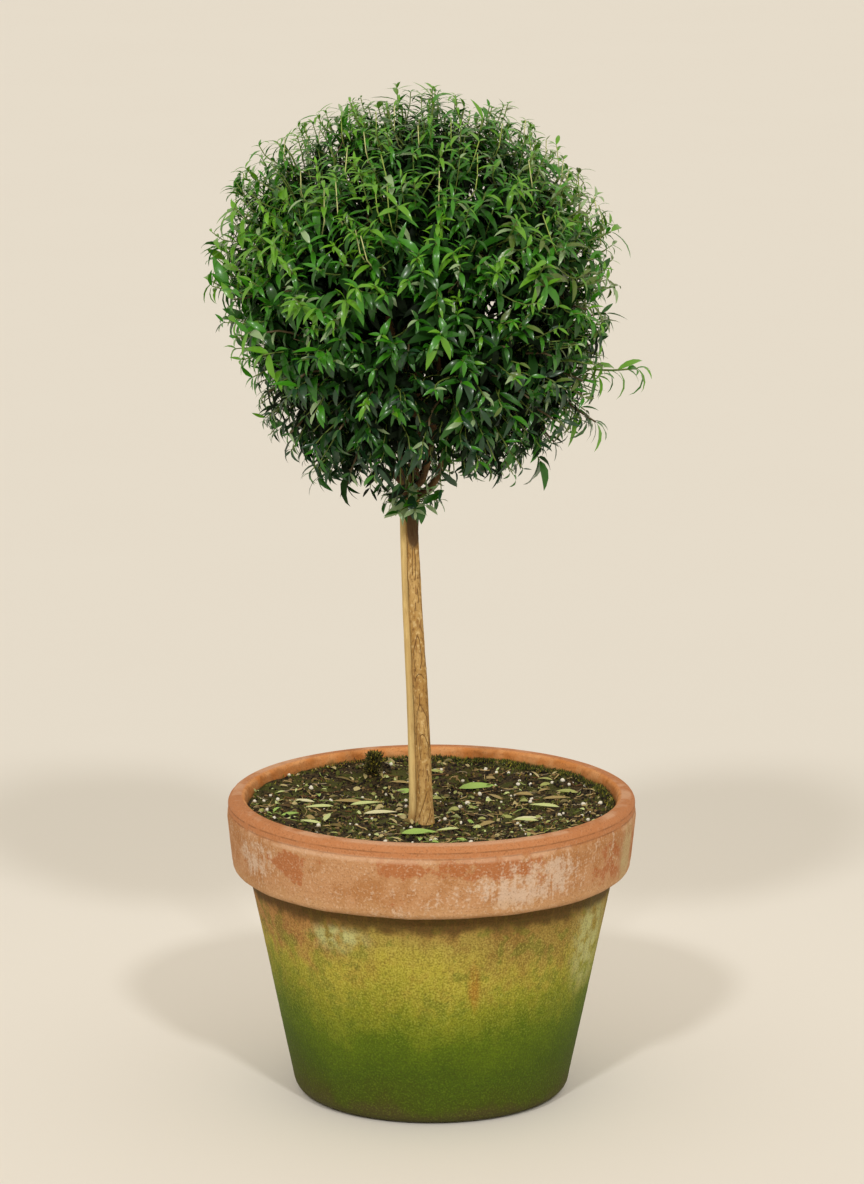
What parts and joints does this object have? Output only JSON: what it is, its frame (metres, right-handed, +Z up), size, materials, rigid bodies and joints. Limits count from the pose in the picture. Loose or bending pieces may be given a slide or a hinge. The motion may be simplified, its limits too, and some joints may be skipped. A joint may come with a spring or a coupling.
{
  "type": "lollipop topiary shrub in a clay pot",
  "caption": "Small myrtle-leaved shrub clipped to a round head on a bare stem, standing in a weathered clay pot filled with potting soil",
  "frame": {"origin": "centre of the pot's flat underside", "axes": "+Z up the stem, -Y to the front"},
  "size_m": [0.3352, 0.3044, 0.741],
  "materials": {
    "clay": "matte",
    "soil": "matte",
    "bark": "matte",
    "pale_bark": "matte",
    "foliage": "satin"
  },
  "bodies": {
    "root": {"bough_lower_1": "bark", "bough_lower_2": "bark", "bough_lower_3": "bark", "bough_lower_4": "bark", "bough_lower_5": "bark", "bough_lower_6": "bark", "bough_top": "bark", "bough_upper_1": "bark", "bough_upper_2": "bark", "bough_upper_3": "bark", "bough_upper_4": "bark", "bough_upper_5": "bark", "foliage_lower_1": "foliage", "foliage_lower_2": "foliage", "foliage_lower_3": "foliage", "foliage_lower_4": "foliage", "foliage_lower_5": "foliage", "foliage_lower_6": "foliage", "foliage_top": "foliage", "foliage_tuft_back": "foliage", "foliage_tuft_front": "foliage", "foliage_upper_1": "foliage", "foliage_upper_2": "foliage", "foliage_upper_3": "foliage", "foliage_upper_4": "foliage", "foliage_upper_5": "foliage", "pot": "clay", "side_stem": "pale_bark", "soil": "soil", "trunk": "bark"}
  },
  "joints": []
}
